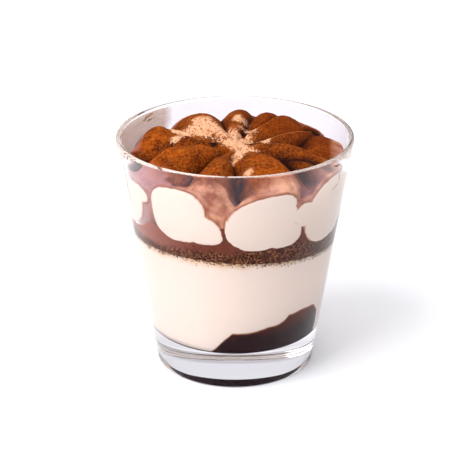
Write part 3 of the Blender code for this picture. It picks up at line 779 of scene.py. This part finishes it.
def veil_material():
    """A veil of cream fat on glass: milky, uneven, beige where it is thick at the back left."""
    made, tree, shader = new_material("cream_fat_veil")
    place = add(tree, "ShaderNodeTexCoord").outputs["Object"]
    parts = add(tree, "ShaderNodeSeparateXYZ", {0: place})
    # Patches of about 9 mm.
    cloud = add(tree, "ShaderNodeTexNoise", {"Vector": place, "Scale": 110.0, "Detail": 3.0}).outputs["Fac"]
    left = add(tree, "ShaderNodeMath", {0: parts.outputs["X"], 1: -1.0}, operation="MULTIPLY").outputs[0]
    left = add(tree, "ShaderNodeMath", {0: cloud, 1: 0.004, 2: left}, operation="MULTIPLY_ADD").outputs[0]
    left = add(tree, "ShaderNodeMapRange", {"Value": left, "From Min": 0.0235, "From Max": 0.0265}).outputs[0]
    back = add(
        tree, "ShaderNodeMapRange", {"Value": parts.outputs["Y"], "From Min": -0.003, "From Max": 0.004}
    ).outputs[0]
    thick = add(tree, "ShaderNodeMath", {0: left, 1: back}, operation="MULTIPLY").outputs[0]
    tint = add(tree, "ShaderNodeMix", {0: thick, 6: linear("C4B4C0"), 7: linear("C8A288")}, data_type="RGBA").outputs[2]
    tree.links.new(tint, shader.inputs["Base Color"])
    even = add(tree, "ShaderNodeMath", {0: cloud, 1: 0.05}, operation="MULTIPLY").outputs[0]
    veil = add(tree, "ShaderNodeMath", {0: back, 1: 0.1, 2: even}, operation="MULTIPLY_ADD").outputs[0]
    solid = add(tree, "ShaderNodeMath", {0: thick, 1: 0.4, 2: veil}, operation="MULTIPLY_ADD").outputs[0]
    tree.links.new(solid, shader.inputs["Alpha"])
    shader.inputs["Roughness"].default_value = 0.6
    shader.inputs["Specular IOR Level"].default_value = 0.0
    return made


veil = piece("cream_veil", make_veil(), veil_material())
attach(veil, "root")

# ---------------------------------------------------------------------------------------------------------------
# Loose cocoa: crumbs pressed against the glass along the cocoa layer's ragged lower edge, specks on the pale cream
# in the middle of the rosette, and the smears and streaks that the filling left on the wall.
# ---------------------------------------------------------------------------------------------------------------
# Smears on the wall: from one angle and height in mm to another, and the width in mm.
SMEARS = (
    (147, 77.4, 138, 78.3, 0.42), (144, 76.3, 139.5, 76.9, 0.3), (174, 78.6, 182, 75.6, 0.5),
    (199, 78.4, 199.5, 60.0, 0.3), (325, 77.2, 331, 76.4, 0.3), (327, 68.4, 334, 69.6, 0.16),
    (334, 69.6, 332.5, 73.6, 0.16), (198.5, 53.0, 200, 48.4, 0.9),
)
REACH_INTO_WALL = 0.17 * MM
CRUMBS = 2200
SPECKS = 150
SPECK_PATCHES = 12  # how many of the thin places and painted highlights have specks, from the first on


def press_crumb(bm, degrees, height, size, wide):
    """A crumb squashed flat on the inside of the wall."""
    angle = math.radians(degrees)
    out = Vector((math.cos(angle), math.sin(angle), 0.0))
    along = Vector((-out.y, out.x, 0.0))
    middle = out * (wall_radius(height) + REACH_INTO_WALL - 0.4 * size) + Vector((0.0, 0.0, height))
    shape = Matrix((along * size * wide, out * size * 0.4, Vector((0.0, 0.0, size)))).transposed().to_4x4()
    bmesh.ops.create_icosphere(bm, subdivisions=1, radius=1.0, matrix=Matrix.Translation(middle) @ shape)


def press_smear(bm, start, start_height, end, end_height, width):
    """A ball drawn out to a thin wavering streak that follows the wall."""
    made = bmesh.ops.create_icosphere(bm, subdivisions=4, radius=1.0)["verts"]
    for corner in made:
        along, across, deep = corner.co
        waver = 1.2 * width * noise.noise(Vector((along * 2.2, start, 0.5))) + 0.3 * width * noise.noise(corner.co * 5)
        share = (along + 1.0) / 2
        angle = math.radians(start + (end - start) * share)
        height = (start_height + (end_height - start_height) * share) * MM
        turned = abs(end - start) * 0.6 < abs(end_height - start_height)
        aside = (across * width + waver) * MM
        if turned:
            angle += aside / wall_radius(height)
        else:
            height += aside
        radius = wall_radius(height) + (0.08 + 0.1 * deep) * MM
        corner.co = (radius * math.cos(angle), radius * math.sin(angle), height)


def make_crumbs():
    bm = bmesh.new()
    draw = random.Random(5)
    for _ in range(CRUMBS):
        degrees = draw.uniform(0, 360)
        size = draw.uniform(0.06, 0.24) * MM
        height = cream_edge(math.radians(degrees)) + draw.gauss(-0.12, 0.55) * MM
        press_crumb(bm, degrees, height, size, draw.uniform(0.8, 1.6))
    for smear in SMEARS:
        press_smear(bm, *smear)
    for _ in range(SPECKS):
        x, y, reach = draw.choice(THIN_DUST_AND_HIGHLIGHTS[:SPECK_PATCHES])
        x, y = x + draw.gauss(0, reach * 0.4), y + draw.gauss(0, reach * 0.4)
        size = draw.uniform(0.1, 0.26) * MM
        height = top_height(math.degrees(math.atan2(y, x)) % 360, math.hypot(x, y))[0]
        where = Matrix.Translation((x * MM, y * MM, height * MM))
        bmesh.ops.create_icosphere(bm, subdivisions=1, radius=size, matrix=where)
    return bm


def crumb_material():
    """Dry cocoa crumbs: dark red-brown, dull, darker in some places and lighter in others."""
    made, tree, shader = new_material("cocoa_crumbs_dry")
    place = add(tree, "ShaderNodeTexCoord").outputs["Object"]
    # The shade changes over about 1 mm, which is wider than a crumb, so that each crumb is nearly of one shade.
    shade = add(tree, "ShaderNodeTexNoise", {"Vector": place, "Scale": 900.0, "Detail": 1.0}).outputs["Fac"]
    shade = add(tree, "ShaderNodeMapRange", {"Value": shade, "From Min": 0.4, "From Max": 0.7}).outputs[0]
    tint = add(tree, "ShaderNodeMix", {0: shade, 6: linear("44200F"), 7: linear("946440")}, data_type="RGBA").outputs[2]
    tree.links.new(tint, shader.inputs["Base Color"])
    shader.inputs["Roughness"].default_value = 0.9
    shader.inputs["Specular IOR Level"].default_value = 0.0
    return made


crumbs = piece("cocoa_crumbs", make_crumbs(), crumb_material())
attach(crumbs, "root")

# ---------------------------------------------------------------------------------------------------------------
# The studio: a white table that runs back out of sight, a large soft light at the upper left, a weaker one at the
# right, and pale walls with a dark strip above the table that draws the edges of the glass.
# ---------------------------------------------------------------------------------------------------------------
CAMERA_TARGET = Vector((0.0, 0.0, 0.040))
CAMERA_DISTANCE = 0.55
CAMERA_ELEVATION = math.radians(24.0)
CAMERA_LENS = 126.2
CAMERA_SHIFT = 0.0243
TABLE_HALF = 4.0  # metres, half its side
TABLE_GAP = 0.1 * MM  # under the foot
LIGHT_BOUNCES = 40  # light is led along inside the glass wall for many turns


def make_table():
    bm = bmesh.new()
    bmesh.ops.create_grid(bm, x_segments=1, y_segments=1, size=TABLE_HALF)
    bmesh.ops.translate(bm, vec=(0, 0, -TABLE_GAP), verts=bm.verts)
    made, _, shader = new_material("white_laminate_matt")
    shader.inputs["Base Color"].default_value = linear("FAFAFB")
    shader.inputs["Roughness"].default_value = 0.9
    shader.inputs["Specular IOR Level"].default_value = 0.0
    return piece("table_top", bm, made)


def softbox(name, place, size, power, aim):
    light = bpy.data.lights.new(name, "AREA")
    light.energy = power
    light.size = size
    made = bpy.data.objects.new(name, light)
    made.location = place
    made.rotation_euler = (Vector(aim) - Vector(place)).to_track_quat("-Z", "Y").to_euler()
    bpy.context.scene.collection.objects.link(made)


def make_world():
    world = bpy.data.worlds.new("pale_studio")
    bpy.context.scene.world = world
    world.use_nodes = True
    tree = world.node_tree
    way = add(tree, "ShaderNodeTexCoord").outputs["Generated"]
    up = add(tree, "ShaderNodeSeparateXYZ", {0: way}).outputs["Z"]
    ramp = add(tree, "ShaderNodeValToRGB", {0: up})
    stops = ((0.0, "F0F0F4"), (0.12, "E4E4E8"), (0.18, "C8C4CA"), (0.30, "C8C4CA"), (0.38, "EAEAEE"), (1.0, "F4F4F6"))
    while len(ramp.color_ramp.elements) < len(stops):
        ramp.color_ramp.elements.new(0.5)
    for element, (at, code) in zip(ramp.color_ramp.elements, stops):
        element.position = at
        element.color = linear(code)
    tree.links.new(ramp.outputs[0], tree.nodes["Background"].inputs["Color"])
    tree.nodes["Background"].inputs["Strength"].default_value = 1.0


def place_camera():
    camera = bpy.data.cameras.new("camera")
    camera.lens = CAMERA_LENS
    camera.sensor_width = 36.0
    camera.shift_y = CAMERA_SHIFT
    made = bpy.data.objects.new("camera", camera)
    back = Vector((0.0, -math.cos(CAMERA_ELEVATION), math.sin(CAMERA_ELEVATION)))
    made.location = CAMERA_TARGET + back * CAMERA_DISTANCE
    made.rotation_euler = (-back).to_track_quat("-Z", "Y").to_euler()
    bpy.context.scene.collection.objects.link(made)
    bpy.context.scene.camera = made


make_table()
softbox("key_light", (-0.50, -0.36, 0.74), 0.60, 7.6, (0, 0, 0.05))
softbox("fill_light", (0.35, -0.8, 0.6), 0.6, 1.8, (0, 0, 0.05))
make_world()
place_camera()
bpy.context.scene.cycles.max_bounces = LIGHT_BOUNCES
bpy.context.scene.cycles.transmission_bounces = LIGHT_BOUNCES
bpy.context.scene.cycles.glossy_bounces = LIGHT_BOUNCES
bpy.context.scene.view_settings.view_transform = "Standard"
